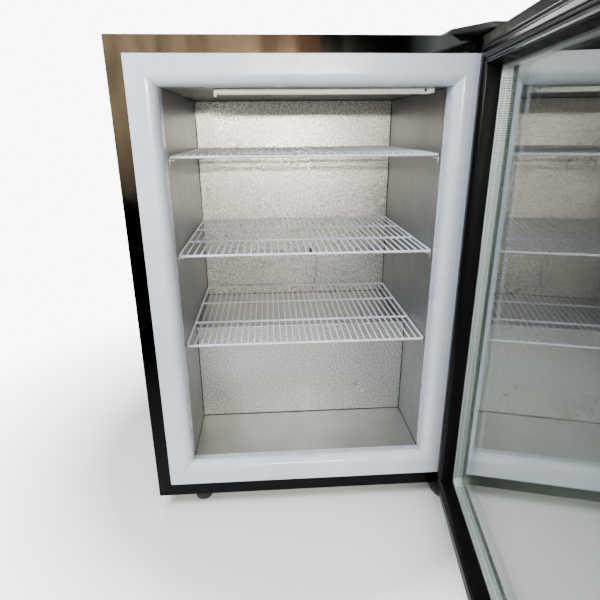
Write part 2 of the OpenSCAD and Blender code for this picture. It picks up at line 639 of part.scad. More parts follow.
// Thermostat body behind the cover, and the light switch's housing with its flange
module control_housings() color("#232326") place() {
    body_half = 20;
    difference() {
        span([knob_x - body_half, cover_y - 28, knob_z - body_half],
            [knob_x + body_half, cover_y, knob_z + body_half]);
        rod_y(shaft_r + fit, knob_x, cover_y - 18, cover_y + 1, knob_z);
    }
    difference() {
        union() {
            translate([switch_x - switch_box.x / 2, inner_back - switch_box.y,
                knob_z - switch_box.z / 2]) cube(switch_box);
            span([switch_x - 12, inner_back, knob_z - 17], [switch_x + 12, inner_back + 1.2, knob_z + 17]);
        }
        translate([switch_x - rocker.x / 2 - play, rocker_y - 12, knob_z - 13.2])
            cube([rocker.x + 2 * play, 24, 26.4]);
        rod_x(pivot_r + fit, switch_x - switch_box.x / 2 - 1, switch_x + switch_box.x / 2 + 1,
            rocker_y, knob_z);
    }
}
module thermostat_knob() color("#1f1f21") place() difference() {
    knob_r = 15;
    union() {
        rod_y(knob_r, knob_x, inner_back + play, body_d + 13, knob_z);
        rod_y(shaft_r, knob_x, cover_y - 14, inner_back + 1, knob_z);
    }
    // pointer groove across the face
    span([knob_x - 1, body_d + 11.5, knob_z], [knob_x + 1, body_d + 14, knob_z + knob_r + 1]);
}
// Rocker that tips about the pivot pins at its sides
module light_switch() color("#a8231f") place() translate([switch_x, rocker_y, knob_z]) {
    tip = 8;                     // the rocker rests this many degrees from level
    intersection() {
        translate([-rocker.x / 2, -far / 2, -rocker.z / 2]) cube([rocker.x, far, rocker.z]);
        rotate([tip, 0, 0]) translate([-rocker.x / 2, -rocker.y / 2, -far / 2])
            cube([rocker.x, rocker.y, far]);
    }
    rod_x(pivot_r, -switch_box.x / 2 + 0.3, switch_box.x / 2 - 0.3, 0, 0);
}
module cord_gland() color("#1a1a1a") place() difference() {
    union() {
        rod_y(gland_r - 0.2, gland_x, inner_back - 10, inner_back + 12, gland_z);
        rod_y(gland_r + 3, gland_x, inner_back + 0.1, inner_back + 4, gland_z);
    }
    rod_y(4, gland_x, inner_back - 12, inner_back + 14, gland_z);
}

// ---- door ----

// Stile and rail section: a deep bar with the glazing rebate and a sloped inner edge
module frame_section() difference() {
    polygon([[0, front_y + 2], [2, front_y], [stile_w - 1, front_y], [stile_w, front_y + 1],
        [stile_w, glass_y], [stile_w - 2, frame_y], [1, frame_y], [0, frame_y - 1]]);
    translate([stile_w - rebate_in, glass_y - rebate_t]) square([rebate_in + 1, rebate_t]);
}
module bush_holes() for (z = [-1, door_h - pin_len - 2]) translate([axis_x, axis_y, z])
    cylinder(h = pin_len + 3, r = bush_r + fit);
module door_stiles() color("#1a1816") swing() translate([0, 0, door_low]) difference() {
    union() {
        side_left(body_w, door_h, stile_w + 1) frame_section();
        side_right(body_w, door_h, stile_w + 1) frame_section();
    }
    bush_holes();
}
module door_rails() color("#1a1816") swing() translate([0, 0, door_low]) difference() {
    union() {
        side_bottom(body_w, door_h, stile_w + 1) frame_section();
        side_top(body_w, door_h, stile_w + 1) frame_section();
    }
    bush_holes();
}
module glass_panes() color([0.55, 0.63, 0.6, 0.35]) swing() for (i = [0:2]) {
    y = glass_y - 0.2 - i * (pane_t + pane_gap);
    span([glass_x, y - pane_t, door_low + glass_x],
        [body_w - glass_x, y, door_low + door_h - glass_x]);
}
// Spacer bars, between neighbouring panes
module glass_spacers() color("#b3bbb3") swing() for (i = [0, 1]) {
    y = glass_y - 0.2 - pane_t - i * (pane_t + pane_gap);
    out = glass_x + 3.5;
    in = out + spacer_w;
    difference() {
        span([out, y - pane_gap, door_low + out], [body_w - out, y, door_low + door_h - out]);
        span([in, y - far, door_low + in], [body_w - in, y + far, door_low + door_h - in]);
    }
}
// Gasket section: a base strip with three ridges, the last of which holds the magnet
module gasket_section() {
    top = -play;
    base = frame_y + 2.2;
    translate([gasket_in, frame_y]) square([gasket_w, 2.2]);
    for (g = [[0, 2.5, 1.6], [gasket_w / 2 - 3, 5, 0.8], [gasket_w - 8, 8, 0]])
        translate([gasket_in + g[0], base]) square([g[1], top - g[2] - base]);
}
module door_gasket() color("#242321") swing() translate([0, 0, door_low]) {
    reach = gasket_in + gasket_w + 1;
    side_left(body_w, door_h, reach, 0) gasket_section();
    side_right(body_w, door_h, reach, 0) gasket_section();
    side_bottom(body_w, door_h, reach, 0) gasket_section();
    side_top(body_w, door_h, reach, 0) gasket_section();
}

module door_handle() color("#2a2a2c") swing() {
    x = stile_w / 2;
    z = body_h / 2;
    bar_r = 6;
    bar_y = front_y - handle_out - bar_r;
    for (s = [-1, 1]) {
        rod_y(bar_r, x, bar_y, front_y, z + s * handle_len / 2);
        translate([x, bar_y, z + s * (handle_len / 2 + 18)]) sphere(bar_r);
    }
    translate([x, bar_y, z - handle_len / 2 - 18]) cylinder(h = handle_len + 36, r = bar_r);
}
module door_bushes() color("#e6e4dc") swing() translate([axis_x, axis_y, 0]) difference() {
    union() {
        translate([0, 0, door_low]) cylinder(h = pin_len + 1, r = bush_r);
        translate([0, 0, 0.6]) cylinder(h = door_low - 0.6, r = bush_flange);
        translate([0, 0, door_low + door_h - pin_len - 1]) cylinder(h = pin_len + 1, r = bush_r);
    }
    translate([0, 0, -1]) cylinder(h = body_h + 2, r = pin_r + fit);
}

left_panel();
right_panel();
top_panel();
back_panel();
base_pan();
foam_insulation();
trim_left();
trim_right();
trim_top();
trim_bottom();
collar_left();
collar_right();
collar_top();
collar_bottom();
liner_left();
liner_right();
liner_ceiling();
liner_floor();
liner_back();
step_front();
step_top();
lamp_housing();
lamp_diffuser();
probe_grommet();
probe_lead();
shelf_clips();
shelf_top();
shelf_middle();
shelf_bottom();
foot_front_left();
foot_front_right();
rear_feet();
foot_nuts();
top_hinge_plate();
bottom_hinge_plate();
hinge_pins();
screws();
hinge_cover();
bay_lining();
evaporator_tube();
compressor();
compressor_mounts();
relay_cover();
condenser_coil();
condenser_fins();
fan_motor();
fan_blades();
refrigerant_lines();
rear_cover();
control_housings();
thermostat_knob();
light_switch();
cord_gland();
door_stiles();
door_rails();
glass_panes();
glass_spacers();
door_gasket();
door_handle();
door_bushes();
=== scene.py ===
import bpy
import json
import math
from mathutils import Matrix, Vector

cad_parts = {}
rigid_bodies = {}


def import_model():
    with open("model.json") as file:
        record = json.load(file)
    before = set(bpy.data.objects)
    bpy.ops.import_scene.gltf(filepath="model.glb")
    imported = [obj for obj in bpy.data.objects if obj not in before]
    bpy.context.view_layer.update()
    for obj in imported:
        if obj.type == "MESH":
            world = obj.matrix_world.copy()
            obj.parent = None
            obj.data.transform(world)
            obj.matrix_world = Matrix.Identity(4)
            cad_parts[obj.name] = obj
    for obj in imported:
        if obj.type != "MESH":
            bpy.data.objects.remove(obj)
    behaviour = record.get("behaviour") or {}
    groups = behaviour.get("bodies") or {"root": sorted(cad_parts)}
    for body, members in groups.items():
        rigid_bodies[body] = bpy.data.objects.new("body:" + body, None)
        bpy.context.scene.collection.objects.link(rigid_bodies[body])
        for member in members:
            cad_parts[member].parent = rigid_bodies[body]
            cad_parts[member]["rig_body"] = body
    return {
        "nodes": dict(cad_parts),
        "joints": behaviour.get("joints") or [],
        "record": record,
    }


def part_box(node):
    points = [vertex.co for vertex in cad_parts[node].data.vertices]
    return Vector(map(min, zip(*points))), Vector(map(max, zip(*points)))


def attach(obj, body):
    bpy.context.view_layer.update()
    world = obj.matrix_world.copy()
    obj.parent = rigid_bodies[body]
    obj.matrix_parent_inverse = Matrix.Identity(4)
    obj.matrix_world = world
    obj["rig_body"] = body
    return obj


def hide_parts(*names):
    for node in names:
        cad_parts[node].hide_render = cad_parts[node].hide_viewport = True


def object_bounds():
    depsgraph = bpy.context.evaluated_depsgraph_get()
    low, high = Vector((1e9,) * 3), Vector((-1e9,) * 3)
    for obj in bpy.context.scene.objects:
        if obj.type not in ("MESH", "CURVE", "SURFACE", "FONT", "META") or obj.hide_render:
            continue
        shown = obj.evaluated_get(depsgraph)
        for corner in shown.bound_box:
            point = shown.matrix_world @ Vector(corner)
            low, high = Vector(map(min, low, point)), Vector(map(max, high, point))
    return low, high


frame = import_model()
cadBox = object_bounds()
bpy.ops.object.select_all(action="DESELECT")
print("frame loaded")

# the door's hinge, read from the frame: the joint's lower limit is the shut door
doorJoint = next(j for j in frame["joints"] if j["name"] == "door_swing")
hingeAt = Vector(doorJoint["pos_m"])
doorOpen = math.radians(-doorJoint["range_deg"][0])
openDoor = Matrix.Translation(hingeAt) @ Matrix.Rotation(doorOpen, 4, "Z") @ Matrix.Translation(-hingeAt)
shutDoor = openDoor.inverted()


camera = {
    "place": (-0.065, -1.0295, 0.7281),
    "yaw": -3.481, "pitch": -19.256, "roll": -0.449,   # degrees
    "lens": 28.804, "shift": (0.0012, -0.0055),
}


def makeCamera(spec):
    data = bpy.data.cameras.new("frontCamera")
    data.lens = spec["lens"]
    data.sensor_width = 36
    data.shift_x, data.shift_y = spec["shift"]
    cam = bpy.data.objects.new("frontCamera", data)
    bpy.context.scene.collection.objects.link(cam)
    turn = Matrix.Rotation(math.radians(spec["yaw"]), 4, "Z")
    tilt = Matrix.Rotation(math.radians(90 + spec["pitch"]), 4, "X")
    roll = Matrix.Rotation(math.radians(spec["roll"]), 4, "Z")
    cam.matrix_world = Matrix.Translation(spec["place"]) @ turn @ tilt @ roll
    bpy.context.scene.camera = cam


studio = {
    "backdrop": (1.0, 1.0, 1.0), "backdropStrength": 9.0,   # what the camera sees
    "room": (0.82, 0.90, 1.0), "roomStrength": 0.08,        # what lights the object
    "floor": (0.86, 0.86, 0.85), "floorSize": 9.0, "floorFade": (0.45, 1.1),
    "lights": [
        # name, place, aim, size, watts, colour; the two cards are there for the trim to mirror
        ("keyLight", (-0.75, -0.85, 1.20), (0.0, 0.0, 0.60), (0.5, 0.5), 24, (0.90, 0.95, 1.0)),
        ("lensLight", (0.12, -1.8, 0.90), (0.05, 0.1, 0.66), (0.50, 0.05), 25, (1.0, 0.91, 0.78)),
        ("trimCard", (-0.75, -3.1, 0.85), (-0.75, 0.0, 0.85), (2.2, 1.2), 11, (1.0, 0.88, 0.70)),
        ("sideCard", (1.22, -3.1, 1.28), (1.22, 0.0, 1.28), (0.5, 0.3), 0.5, (0.95, 0.98, 1.0)),
        ("topLight", (0.1, -0.3, 3.2), (0.0, -0.3, 0.0), (2.6, 2.6), 90, (1.0, 1.0, 1.0)),
        ("backLight", (-0.6, 2.6, 2.2), (0.0, 0.0, 0.5), (1.8, 1.4), 60, (0.95, 0.97, 1.0)),
    ],
}


def makeStudio(spec):
    world = bpy.data.worlds.new("studioWorld")
    bpy.context.scene.world = world
    world.use_nodes = True
    tree = world.node_tree
    room = tree.nodes["Background"]
    room.inputs["Color"].default_value = (*spec["room"], 1)
    room.inputs["Strength"].default_value = spec["roomStrength"]
    backdrop = tree.nodes.new("ShaderNodeBackground")
    backdrop.inputs["Color"].default_value = (*spec["backdrop"], 1)
    backdrop.inputs["Strength"].default_value = spec["backdropStrength"]
    path = tree.nodes.new("ShaderNodeLightPath")
    either = tree.nodes.new("ShaderNodeMixShader")
    tree.links.new(path.outputs["Is Camera Ray"], either.inputs["Fac"])
    tree.links.new(room.outputs["Background"], either.inputs[1])
    tree.links.new(backdrop.outputs["Background"], either.inputs[2])
    tree.links.new(either.outputs["Shader"], tree.nodes["World Output"].inputs["Surface"])
    for name, place, aim, size, watts, colour in spec["lights"]:
        data = bpy.data.lights.new(name, "AREA")
        data.shape = "RECTANGLE"
        data.size, data.size_y = size
        data.energy = watts
        data.color = colour
        lamp = bpy.data.objects.new(name, data)
        bpy.context.scene.collection.objects.link(lamp)
        lamp.location = place
        lamp.rotation_euler = (Vector(aim) - Vector(place)).to_track_quat("-Z", "Y").to_euler()
    bpy.ops.mesh.primitive_plane_add(size=spec["floorSize"], location=(0, 0, 0))
    floor = bpy.context.active_object
    floor.name = "studioFloor"
    floor.data.materials.append(floorPaint(spec))


def floorPaint(spec):
    # the floor fades into the backdrop away from the object
    mat = paint("studioFloor", spec["floor"], rough=0.7)
    links = mat.node_tree.links
    coords = addNode(mat, "ShaderNodeTexCoord")
    distance = addNode(mat, "ShaderNodeVectorMath")
    distance.operation = "LENGTH"
    nearest, furthest = spec["floorFade"]
    fade = addNode(mat, "ShaderNodeMapRange", From_Min=nearest, From_Max=furthest)
    clear = addNode(mat, "ShaderNodeBsdfTransparent")
    either = addNode(mat, "ShaderNodeMixShader")
    links.new(coords.outputs["Object"], distance.inputs[0])
    links.new(distance.outputs["Value"], fade.inputs["Value"])
    links.new(fade.outputs["Result"], either.inputs["Fac"])
    links.new(mat.node_tree.nodes["Principled BSDF"].outputs["BSDF"], either.inputs[1])
    links.new(clear.outputs["BSDF"], either.inputs[2])
    links.new(either.outputs["Shader"], mat.node_tree.nodes["Material Output"].inputs["Surface"])
    return mat


def paint(name, colour, metal=0.0, rough=0.5, **sockets):
    mat = bpy.data.materials.new(name)
    mat.use_nodes = True
    shader = mat.node_tree.nodes["Principled BSDF"]
    shader.inputs["Base Color"].default_value = (*colour, 1)
    shader.inputs["Metallic"].default_value = metal
    shader.inputs["Roughness"].default_value = rough
    for socket, value in sockets.items():
        shader.inputs[socket.replace("_", " ")].default_value = value
    return mat


def addNode(mat, kind, **values):
    node = mat.node_tree.nodes.new(kind)
    for socket, value in values.items():
        node.inputs[socket.replace("_", " ")].default_value = value
    return node


def noise(mat, scale, detail=3.0, stretch=(1, 1, 1)):
    # noise on the piece's own coordinates, in metres
    coords = addNode(mat, "ShaderNodeTexCoord")
    place = addNode(mat, "ShaderNodeMapping", Scale=stretch)
    grain = addNode(mat, "ShaderNodeTexNoise", Scale=scale, Detail=detail)
    mat.node_tree.links.new(coords.outputs["Object"], place.inputs["Vector"])
    mat.node_tree.links.new(place.outputs["Vector"], grain.inputs["Vector"])
    return grain.outputs["Fac"]


def bump(mat, height, strength, distance):
    links = mat.node_tree.links
    shader = mat.node_tree.nodes["Principled BSDF"]
    node = addNode(mat, "ShaderNodeBump", Strength=strength, Distance=distance)
    links.new(height, node.inputs["Height"])
    before = [link.from_socket for link in links if link.to_socket == shader.inputs["Normal"]]
    if before:
        links.new(before[0], node.inputs["Normal"])
    links.new(node.outputs["Normal"], shader.inputs["Normal"])


def vary(mat, fac, socket, low, high, start=0.35, end=0.65):
    # a socket that runs from low to high over the noise
    ramp = addNode(mat, "ShaderNodeValToRGB")
    first, last = ramp.color_ramp.elements
    first.position, last.position = start, end
    first.color = (*low, 1) if isinstance(low, tuple) else (low, low, low, 1)
    last.color = (*high, 1) if isinstance(high, tuple) else (high, high, high, 1)
    mat.node_tree.links.new(fac, ramp.inputs["Fac"])
    shader = mat.node_tree.nodes["Principled BSDF"]
    mat.node_tree.links.new(ramp.outputs["Color"], shader.inputs[socket])


def socketOf(sockets, identifier):
    return next(socket for socket in sockets if socket.identifier == identifier)


def colourMix(mat, first, second=None, blend="MIX"):
    mix = addNode(mat, "ShaderNodeMix")
    mix.data_type = "RGBA"
    mix.blend_type = blend
    mat.node_tree.links.new(first, socketOf(mix.inputs, "A_Color"))
    if second:
        mat.node_tree.links.new(second, socketOf(mix.inputs, "B_Color"))
    return mix


def blackPaint():
    mat = paint("blackPaint", (0.014, 0.014, 0.016), rough=0.34, Coat_Weight=0.25, Coat_Roughness=0.2)
    bump(mat, noise(mat, 900, 2), 0.12, 0.0004)          # orange peel
    vary(mat, noise(mat, 14, 4), "Roughness", 0.3, 0.42)
    return mat


trimPaintedReflection = {
    "from": -0.30, "to": 0.30,                 # ends of the top strip, m along X
    "paintedReflections": [                                 # share of the way, painted reflection colour
        (0.0, (0.23, 0.185, 0.14)), (0.30, (0.24, 0.19, 0.135)), (0.50, (0.09, 0.055, 0.038)),
        (0.54, (0.012, 0.012, 0.012)), (0.75, (0.014, 0.014, 0.014)), (0.85, (0.16, 0.165, 0.165)),
        (1.0, (0.12, 0.125, 0.125)),
    ],
    "paintedShadeFrom": 0.79, "paintedShadeAt": 0.60,          # heights between which painted shade turns it black
    "black": (0.010, 0.010, 0.011),
    "streak": (0.36, 0.38, 0.36), "streakShare": 0.75,
}


def darkTrim():
    # dark polished steel with painted reflections in its colour: brown at the top left, grey to the right,
    # and painted shade that turns it black lower down
    spec = trimPaintedReflection
    mat = paint("darkTrim", (0.12, 0.105, 0.09), metal=1.0, rough=0.16)
    links = mat.node_tree.links
    coords = addNode(mat, "ShaderNodeTexCoord")
    split = addNode(mat, "ShaderNodeSeparateXYZ")
    across = addNode(mat, "ShaderNodeMapRange", From_Min=spec["from"], From_Max=spec["to"])
    down = addNode(mat, "ShaderNodeMapRange", From_Min=spec["paintedShadeFrom"], From_Max=spec["paintedShadeAt"])
    links.new(coords.outputs["Object"], split.inputs["Vector"])
    links.new(split.outputs["X"], across.inputs["Value"])
    links.new(split.outputs["Z"], down.inputs["Value"])
    # painted reflection: the colour runs from brown to grey across the strip
    paintedReflectionRamp = addNode(mat, "ShaderNodeValToRGB")
    links.new(across.outputs["Result"], paintedReflectionRamp.inputs["Fac"])
    stops = paintedReflectionRamp.color_ramp.elements
    stops[0].color, stops[1].color = (*spec["paintedReflections"][0][1], 1), (*spec["paintedReflections"][-1][1], 1)
    for place, colour in spec["paintedReflections"][1:-1]:
        stops.new(place).color = (*colour, 1)
    bands = addNode(mat, "ShaderNodeValToRGB")
    first, last = bands.color_ramp.elements
    first.position, last.position = 0.38, 0.62
    first.color = (*spec["streak"], 1)
    links.new(noise(mat, 24, 3, (1, 1, 0.25)), bands.inputs["Fac"])
    streaks = colourMix(mat, paintedReflectionRamp.outputs["Color"], bands.outputs["Color"], "MULTIPLY")
    streaks.inputs["Factor"].default_value = spec["streakShare"]
    # painted shade: the colour goes black lower down
    dark = colourMix(mat, socketOf(streaks.outputs, "Result_Color"))
    socketOf(dark.inputs, "B_Color").default_value = (*spec["black"], 1)
    links.new(down.outputs["Result"], dark.inputs["Factor"])
    shader = mat.node_tree.nodes["Principled BSDF"]
    links.new(socketOf(dark.outputs, "Result_Color"), shader.inputs["Base Color"])
    vary(mat, noise(mat, 30, 4, (1, 1, 0.1)), "Roughness", 0.07, 0.13)
    bump(mat, noise(mat, 16, 2), 0.1, 0.003)
    bump(mat, noise(mat, 1800, 2, (1, 1, 0.02)), 0.04, 0.0002)
    return mat


def whitePlastic():
    mat = paint("whitePlastic", (0.56, 0.63, 0.72), rough=0.22, Coat_Weight=0.3, Coat_Roughness=0.08)
    vary(mat, noise(mat, 6, 4), "Base Color", (0.53, 0.61, 0.71), (0.61, 0.67, 0.75))
    vary(mat, noise(mat, 30, 3), "Roughness", 0.18, 0.3)
    bump(mat, noise(mat, 20, 1), 0.02, 0.002)
    return mat


def plainAluminium(name="plainAluminium", tint=(0.345, 0.36, 0.36)):
    mat = paint(name, tint, metal=1.0, rough=0.36)
    darker = tuple(c * 0.86 for c in tint)
    vary(mat, noise(mat, 12, 5), "Base Color", darker, tint)
    vary(mat, noise(mat, 300, 4, (1, 1, 0.04)), "Roughness", 0.3, 0.48)
    bump(mat, noise(mat, 2600, 2, (1, 1, 0.03)), 0.08, 0.0002)
    return mat


def embossedAluminium():
    mat = paint("embossedAluminium", (0.60, 0.60, 0.58), metal=1.0, rough=0.3)
    vary(mat, noise(mat, 330, 2), "Base Color", (0.36, 0.365, 0.36), (0.88, 0.88, 0.85), 0.36, 0.64)
    vary(mat, noise(mat, 9, 4), "Roughness", 0.27, 0.38)
    bump(mat, noise(mat, 360, 2.5), 0.7, 0.0009)
    return mat


def galvanised():
    mat = paint("galvanised", (0.5, 0.52, 0.53), metal=1.0, rough=0.42)
    vary(mat, noise(mat, 60, 1), "Base Color", (0.4, 0.42, 0.43), (0.56, 0.58, 0.59))
    vary(mat, noise(mat, 90, 2), "Roughness", 0.34, 0.52)
    return mat


def foam():
    mat = paint("foam", (0.72, 0.62, 0.38), rough=0.95)
    vary(mat, noise(mat, 25, 4), "Base Color", (0.66, 0.55, 0.31), (0.78, 0.69, 0.45))
    bump(mat, noise(mat, 500, 3), 0.5, 0.001)
    return mat


def creamPlastic():
    mat = paint("creamPlastic", (0.92, 0.90, 0.82), rough=0.3)
    vary(mat, noise(mat, 15, 3), "Base Color", (0.90, 0.88, 0.79), (0.94, 0.93, 0.87))
    vary(mat, noise(mat, 80, 2), "Roughness", 0.26, 0.36)
    return mat


def zincSteel():
    mat = paint("zincSteel", (0.55, 0.55, 0.54), metal=1.0, rough=0.35)
    vary(mat, noise(mat, 120, 3), "Roughness", 0.28, 0.45)
    bump(mat, noise(mat, 2500, 2), 0.1, 0.0002)
    return mat


def blackRubber():
    mat = paint("blackRubber", (0.006, 0.006, 0.007), rough=0.55, Specular_IOR_Level=0.25)
    vary(mat, noise(mat, 60, 3), "Roughness", 0.48, 0.66)
    bump(mat, noise(mat, 1400, 2), 0.15, 0.0003)
    return mat


def softVinyl():
    mat = paint("softVinyl", (0.0022, 0.0022, 0.0026), rough=0.22, Specular_IOR_Level=0.16)
    vary(mat, noise(mat, 40, 3), "Roughness", 0.18, 0.26)
    bump(mat, noise(mat, 1400, 2), 0.1, 0.0002)
    return mat


def whiteWire():
    mat = paint("whiteWire", (0.66, 0.68, 0.78), rough=0.3, Coat_Weight=0.4, Coat_Roughness=0.12)
    vary(mat, noise(mat, 20, 3), "Base Color", (0.60, 0.62, 0.73), (0.70, 0.72, 0.81))
    bump(mat, noise(mat, 700, 2), 0.15, 0.0004)         # powder coat
    return mat


def blackPlastic(name="blackPlastic", colour=(0.016, 0.016, 0.017), gloss=0.3):
    mat = paint(name, colour, rough=0.42, Specular_IOR_Level=gloss)
    vary(mat, noise(mat, 50, 3), "Roughness", 0.36, 0.5)
    bump(mat, noise(mat, 1900, 2), 0.12, 0.0003)
    return mat


def copperTube():
    mat = paint("copperTube", (0.62, 0.3, 0.17), metal=1.0, rough=0.34)
    vary(mat, noise(mat, 35, 4), "Base Color", (0.42, 0.2, 0.12), (0.68, 0.34, 0.2))
    vary(mat, noise(mat, 70, 3), "Roughness", 0.26, 0.5)
    return mat


def redPlastic():
    mat = paint("redPlastic", (0.4, 0.02, 0.015), rough=0.25)
    vary(mat, noise(mat, 60, 3), "Roughness", 0.2, 0.32)
    return mat


def clearGlass(name="clearGlass", tint=(0.95, 0.975, 0.96), lit=(0.92, 0.94, 0.93), ior=1.42):
    # smooth glass that lets the lamps through to what is behind it
    mat = paint(name, tint, rough=0.0, Transmission_Weight=1.0, IOR=ior)
    nodes, links = mat.node_tree.nodes, mat.node_tree.links
    path = addNode(mat, "ShaderNodeLightPath")
    through = addNode(mat, "ShaderNodeBsdfTransparent", Color=(*lit, 1))
    either = addNode(mat, "ShaderNodeMixShader")
    links.new(path.outputs["Is Shadow Ray"], either.inputs["Fac"])
    links.new(nodes["Principled BSDF"].outputs["BSDF"], either.inputs[1])
    links.new(through.outputs["BSDF"], either.inputs[2])
    links.new(either.outputs["Shader"], nodes["Material Output"].inputs["Surface"])
    bump(mat, noise(mat, 4, 2), 0.02, 0.002)             # the slight waviness of float glass
    return mat


def spacerAluminium():
    mat = paint("spacerAluminium", (0.60, 0.62, 0.60), metal=0.2, rough=0.4)
    vary(mat, noise(mat, 200, 3, (1, 1, 0.1)), "Roughness", 0.3, 0.46)
    bump(mat, noise(mat, 2200, 2), 0.1, 0.0002)
    return mat


makeCamera(camera)
makeStudio(studio)

finishes = {
    "black_paint": blackPaint(), "galvanised_steel": galvanised(), "foam": foam(),
    "dark_trim": darkTrim(), "white_plastic": whitePlastic(), "plain_aluminium": plainAluminium(),
    "embossed_aluminium": embossedAluminium(), "cream_plastic": creamPlastic(),
    "zinc_steel": zincSteel(), "black_rubber": blackRubber(), "white_wire": whiteWire(),
    "black_plastic": blackPlastic(), "copper_tube": copperTube(), "red_plastic": redPlastic(),
    "door_frame": blackPlastic("doorFrame", (0.0025, 0.0024, 0.0024), 0.06), "clear_glass": clearGlass(),
    "spacer_aluminium": spacerAluminium(),
}
for part in frame["record"]["subparts"]:
    node = frame["nodes"][part["node"]]
    node.data.materials.clear()
    node.data.materials.append(finishes[part["material_slot"]])
    node["finish"] = part["material_slot"]
# painted shade: the ceiling gets a darker copy of the walls' aluminium
shadedAluminium = plainAluminium("shadedAluminium", (0.13, 0.133, 0.13))
frame["nodes"]["liner_ceiling"].data.materials[0] = shadedAluminium
print("finishes on the cabinet's own pieces")


endAngle = 0.9                # radians: the edge round a rod's end is sharper, its sides are not
leastInset = 0.00002          # m: an inset of nothing gives no faces
mergeWithin = 0.000005        # m: corners of a CAD mesh closer than this are one


def finished(obj, name, body, slotName, replaced=(), smooth=40, swing=False):
    # bakes the piece's place into its mesh, gives it its finish and hangs it on its body
    select(obj)
    if swing:
        obj.matrix_world = openDoor @ obj.matrix_world
    bpy.ops.object.transform_apply(location=True, rotation=True, scale=True)
    if smooth:
        bpy.ops.object.shade_smooth_by_angle(angle=math.radians(smooth))
    obj.name = obj.data.name = name
    obj.data.materials.clear()
    obj.data.materials.append(finishes[slotName])
    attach(obj, body)
    if replaced:
        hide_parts(*replaced)
    return obj


def select(*objs):
    bpy.ops.object.select_all(action="DESELECT")
    for obj in objs:
        obj.select_set(True)
    bpy.context.view_layer.objects.active = objs[0]


def join(objs):
    select(*objs)
    if len(objs) > 1:
        bpy.ops.object.join()
    return bpy.context.active_object


def copyOf(obj):
    twin = obj.copy()
    twin.data = obj.data.copy()
    bpy.context.scene.collection.objects.link(twin)
    return twin


def applied(obj, kind, **values):
    select(obj)
    modifier = obj.modifiers.new(kind.lower(), kind)
    for key, value in values.items():
        setattr(modifier, key, value)
    bpy.ops.object.modifier_apply(modifier=modifier.name)
    return obj


def rowOf(obj, count, step):
    # the piece repeated along a line by an applied array
    return applied(obj, "ARRAY", count=count, use_relative_offset=False, use_constant_offset=True,
                   constant_offset_displace=step)


def block(low, high, bevel=0.0, segments=2):
    # a box between two corners with rounded edges
    low, high = Vector(low), Vector(high)
    bpy.ops.mesh.primitive_cube_add(size=1, location=(low + high) / 2)
    obj = bpy.context.active_object
    obj.scale = high - low
    bpy.ops.object.transform_apply(location=False, rotation=False, scale=True)
    if bevel:
        applied(obj, "BEVEL", width=bevel, segments=segments)
    return obj


def rod(start, end, radius, sides=12, bevel=0.0):
    start, end = Vector(start), Vector(end)
    bpy.ops.mesh.primitive_cylinder_add(vertices=sides, radius=radius, depth=(end - start).length,
                                        location=(start + end) / 2)
    obj = bpy.context.active_object
    obj.rotation_euler = (end - start).to_track_quat("Z", "Y").to_euler()
    bpy.ops.object.transform_apply(location=False, rotation=True, scale=False)
    if bevel:
        applied(obj, "BEVEL", width=bevel, segments=2, limit_method="ANGLE", angle_limit=endAngle)
    return obj


def boxOf(points):
    low = Vector([min(point[axis] for point in points) for axis in range(3)])
    high = Vector([max(point[axis] for point in points) for axis in range(3)])
    return low, high


def shutBox(node):
    # a door node's box with the door shut
    return boxOf([shutDoor @ v.co for v in frame["nodes"][node].data.vertices])


sharpAngle = 35               # degrees: a CAD edge sharper than this is rounded
flatAngle = 0.5               # degrees: faces that meet flatter than this become one


def softened(node, width):
    # the CAD node's own shape with its sharp edges rounded
    source = frame["nodes"][node]
    obj = bpy.data.objects.new(node + "Soft", source.data.copy())
    bpy.context.scene.collection.objects.link(obj)
    select(obj)
    bpy.ops.object.mode_set(mode="EDIT")
    bpy.ops.mesh.select_all(action="SELECT")
    bpy.ops.mesh.remove_doubles(threshold=mergeWithin)
    bpy.ops.mesh.customdata_custom_splitnormals_clear()
    bpy.ops.mesh.dissolve_limited(angle_limit=math.radians(flatAngle))
    bpy.ops.object.mode_set(mode="OBJECT")
    applied(obj, "BEVEL", width=width, segments=2, limit_method="ANGLE",
            angle_limit=math.radians(sharpAngle))
    finished(obj, node + "Piece", source["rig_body"], source["finish"], [node], smooth=sharpAngle)


def framedPlane(low, high, profile):
    # a mitred strip round the rectangle: profile is (across, out) from its outer edge, out along +Y
    centre = ((low.x + high.x) / 2, low.y, (low.z + high.z) / 2)
    bpy.ops.mesh.primitive_plane_add(size=1, location=centre, rotation=(-math.pi / 2, 0, 0))
    obj = bpy.context.active_object
    obj.scale = (high.x - low.x, high.z - low.z, 1)
    bpy.ops.object.transform_apply(location=False, rotation=True, scale=True)
    bpy.ops.object.mode_set(mode="EDIT")
    bpy.ops.mesh.select_mode(type="FACE")
    bpy.ops.mesh.select_all(action="SELECT")
    for before, after in zip(profile, profile[1:]):
        across, out = after[0] - before[0], after[1] - before[1]
        bpy.ops.mesh.inset(thickness=max(across, leastInset), depth=out, use_even_offset=True)
    bpy.ops.mesh.delete(type="FACE")
    bpy.ops.mesh.select_mode(type="EDGE")
    bpy.ops.mesh.select_all(action="DESELECT")
    bpy.ops.mesh.select_non_manifold(extend=False)
    bpy.ops.mesh.bridge_edge_loops()
    bpy.ops.mesh.select_all(action="SELECT")
    bpy.ops.mesh.normals_make_consistent(inside=False)
    bpy.ops.object.mode_set(mode="OBJECT")
    return obj


emboss = {
    "cell": 0.0055, "depth": 0.0005,       # size and height of the pattern
    "grid": 0.0022,                        # mesh spacing
    "thick": 0.0008,
}


